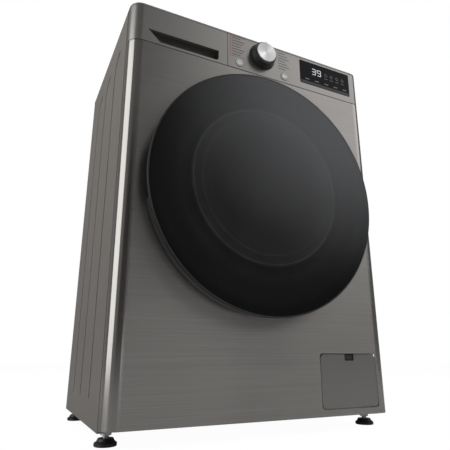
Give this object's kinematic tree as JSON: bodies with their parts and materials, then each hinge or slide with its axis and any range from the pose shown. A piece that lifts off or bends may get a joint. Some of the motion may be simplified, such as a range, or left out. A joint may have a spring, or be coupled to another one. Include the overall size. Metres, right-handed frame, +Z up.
{
  "type": "front load washing machine",
  "caption": "Slim front load washing machine with a full round tinted glass door, detergent drawer, programme knob, display and service hatch.",
  "frame": {"origin": "centre of the overall box on the floor plane, under the four feet", "axes": "+X to the right seen from the front, +Y from the door to the back, +Z up"},
  "size_m": [0.6, 0.475, 0.85],
  "materials": {
    "side_paint": "satin warm grey paint",
    "front_steel": "horizontally brushed grey steel",
    "fascia_finish": "smooth satin grey",
    "worktop_paint": "satin grey paint",
    "structure_steel": "zinc plated steel",
    "black_plastic": "black",
    "frame_plastic": "dark grey",
    "black_glass": "black printed glass",
    "tinted_glass": "dark tinted glass",
    "clear_glass": "clear glass",
    "gasket_rubber": "dark rubber",
    "white_plastic": "white",
    "blue_plastic": "blue",
    "spun_metal": "spun bright metal",
    "button_plastic": "dark grey",
    "stainless": "stainless steel",
    "cast_alloy": "cast",
    "bearing_steel": "ground steel",
    "motor_parts": "motor laminations",
    "concrete": "cast concrete",
    "circuit_board": "circuit board"
  },
  "bodies": {
    "cabinet": {"left_side_panel": "side_paint", "right_side_panel": "side_paint", "front_panel": "front_steel", "back_panel": "side_paint", "back_service_cover": "side_paint", "base_pan": "structure_steel", "worktop": "worktop_paint", "control_fascia": "fascia_finish", "display_window": "black_glass", "display_board": "circuit_board", "main_control_box": "white_plastic", "knob_ring": "black_plastic", "front_brace": "structure_steel", "dispenser_housing": "white_plastic", "dispenser_hose": "gasket_rubber", "inlet_valve": "white_plastic", "door_gasket": "gasket_rubber", "door_lock": "white_plastic", "hinge_bracket": "structure_steel", "hinge_pin": "structure_steel", "tub_front": "white_plastic", "tub_rear": "white_plastic", "upper_counterweight": "concrete", "lower_counterweight": "concrete", "suspension_springs": "structure_steel", "shock_absorbers": "structure_steel", "heater": "structure_steel", "bearings": "bearing_steel", "shaft_seal": "gasket_rubber", "stator": "motor_parts", "drain_pump": "white_plastic", "sump_hose": "gasket_rubber", "drain_outlet": "white_plastic", "foot_pads": "black_plastic", "foot_studs": "structure_steel", "foot_nuts": "structure_steel", "cable_gland": "black_plastic"},
    "door": {"door_glass": "tinted_glass", "door_rim": "black_plastic", "door_frame": "frame_plastic", "door_inner_frame": "frame_plastic", "door_bowl": "clear_glass", "door_hinge_leaf": "structure_steel", "door_latch_hook": "structure_steel", "door_grip": "black_plastic"},
    "drawer": {"drawer_front": "fascia_finish", "drawer_tray": "white_plastic", "siphon_cap": "blue_plastic"},
    "knob": {"knob_body": "frame_plastic", "knob_cap": "spun_metal"},
    "power": {"power_button": "button_plastic"},
    "start": {"start_button": "button_plastic"},
    "hatch": {"service_hatch": "fascia_finish"},
    "filter": {"filter_cap": "white_plastic"},
    "drum": {"drum_shell": "stainless", "drum_lifters": "white_plastic", "drum_spider": "cast_alloy", "drive_shaft": "bearing_steel", "rotor": "motor_parts"}
  },
  "joints": [
    {"name": "door_swing", "type": "hinge", "parent": "cabinet", "child": "door", "pos_m": [0.248, -0.2225, 0.47], "axis": [0, 0, 1], "range_deg": [0, 110]},
    {"name": "drawer_slide", "type": "slide", "parent": "cabinet", "child": "drawer", "axis": [0, -1, 0], "range_m": [0, 0.24]},
    {"name": "knob_turn", "type": "hinge", "parent": "cabinet", "child": "knob", "pos_m": [0.008, -0.202, 0.811], "axis": [0, 1, 0], "continuous": true},
    {"name": "power_press", "type": "slide", "parent": "cabinet", "child": "power", "axis": [0, 1, 0], "range_m": [0, 0.002], "stiffness_N_per_m": 500},
    {"name": "start_press", "type": "slide", "parent": "cabinet", "child": "start", "axis": [0, 1, 0], "range_m": [0, 0.002], "stiffness_N_per_m": 500},
    {"name": "hatch_swing", "type": "hinge", "parent": "cabinet", "child": "hatch", "pos_m": [0.197, -0.1985, 0.047], "axis": [1, 0, 0], "range_deg": [0, 90]},
    {"name": "filter_turn", "type": "hinge", "parent": "cabinet", "child": "filter", "pos_m": [0.197, -0.182, 0.0945], "axis": [0, -1, 0], "range_deg": [0, 90]},
    {"name": "drum_spin", "type": "hinge", "parent": "cabinet", "child": "drum", "pos_m": [0, 0.138, 0.47], "axis": [0, 1, 0], "continuous": true}
  ]
}
